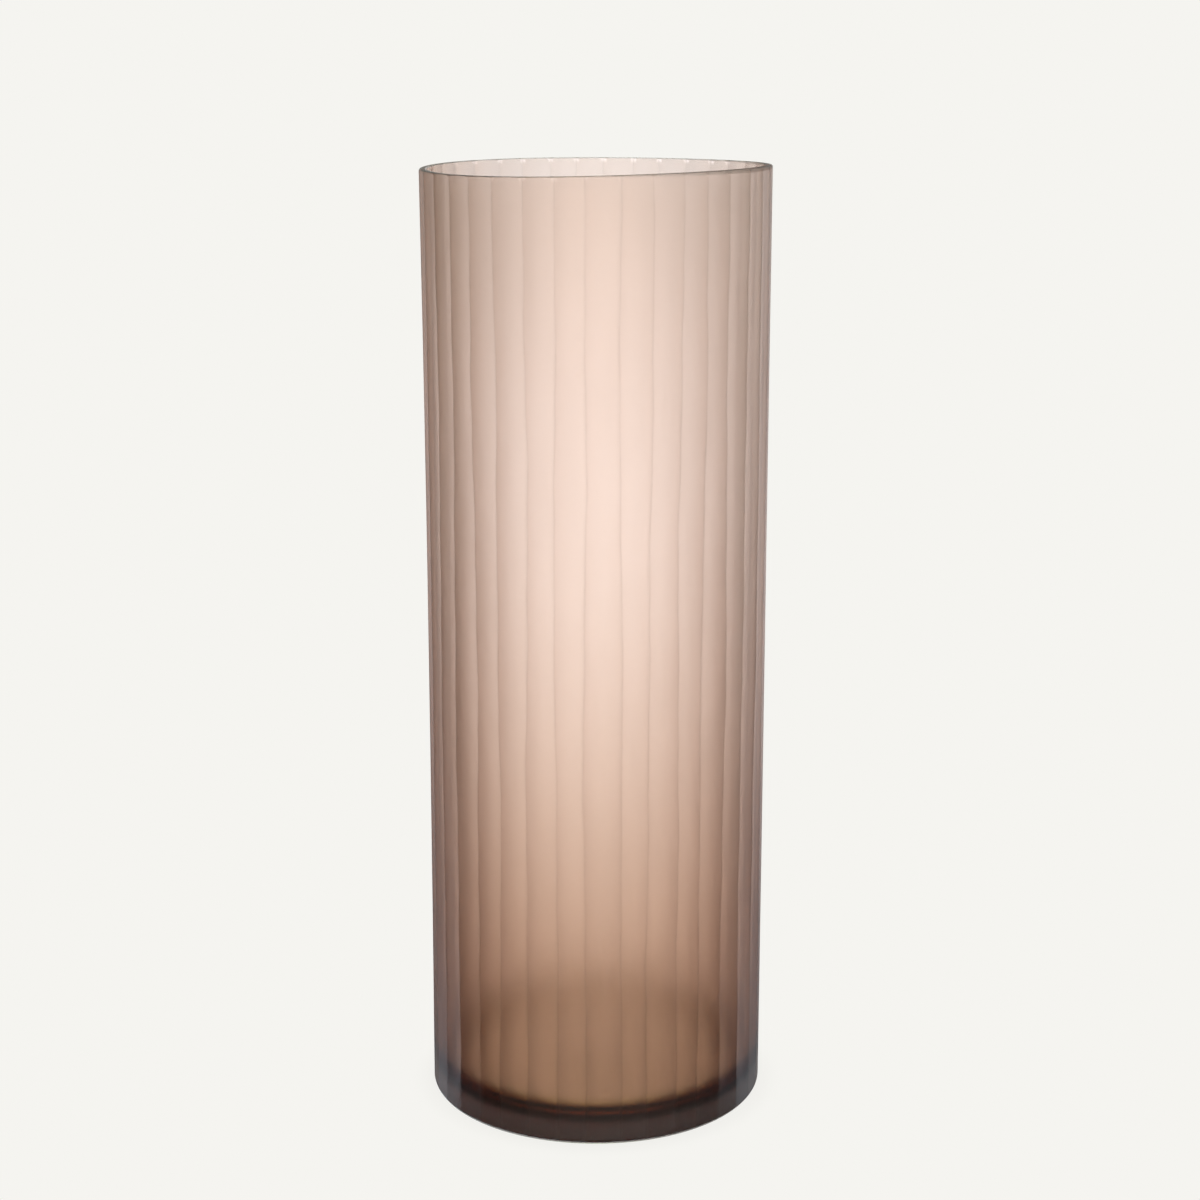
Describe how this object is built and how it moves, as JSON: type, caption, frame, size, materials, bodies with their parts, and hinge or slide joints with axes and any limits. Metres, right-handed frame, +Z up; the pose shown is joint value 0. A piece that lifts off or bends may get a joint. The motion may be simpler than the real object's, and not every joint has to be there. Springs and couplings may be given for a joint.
{
  "type": "cylinder vase",
  "caption": "Tall, heavy cylinder vase for cut flowers, in cased glass: a brown lining inside a clear casing cut with shallow upright flutes all round, a ground rim and a thick clear foot.",
  "frame": {"origin": "centre of the flat underside, on the vase's axis", "axes": "+Z up along the vase's axis to the open mouth; X and Y lie in the table's plane, and -Y faces the viewer"},
  "size_m": [0.1798, 0.1798, 0.5],
  "materials": {
    "clear_casing": "clear glass, cut outside into upright flutes and left satin, flat-ground rim and underside",
    "brown_lining": "warm brown transparent glass, fire-polished inside, darker towards the thick floor"
  },
  "bodies": {
    "root": {"outer_casing": "clear_casing", "colour_lining": "brown_lining"}
  },
  "joints": []
}
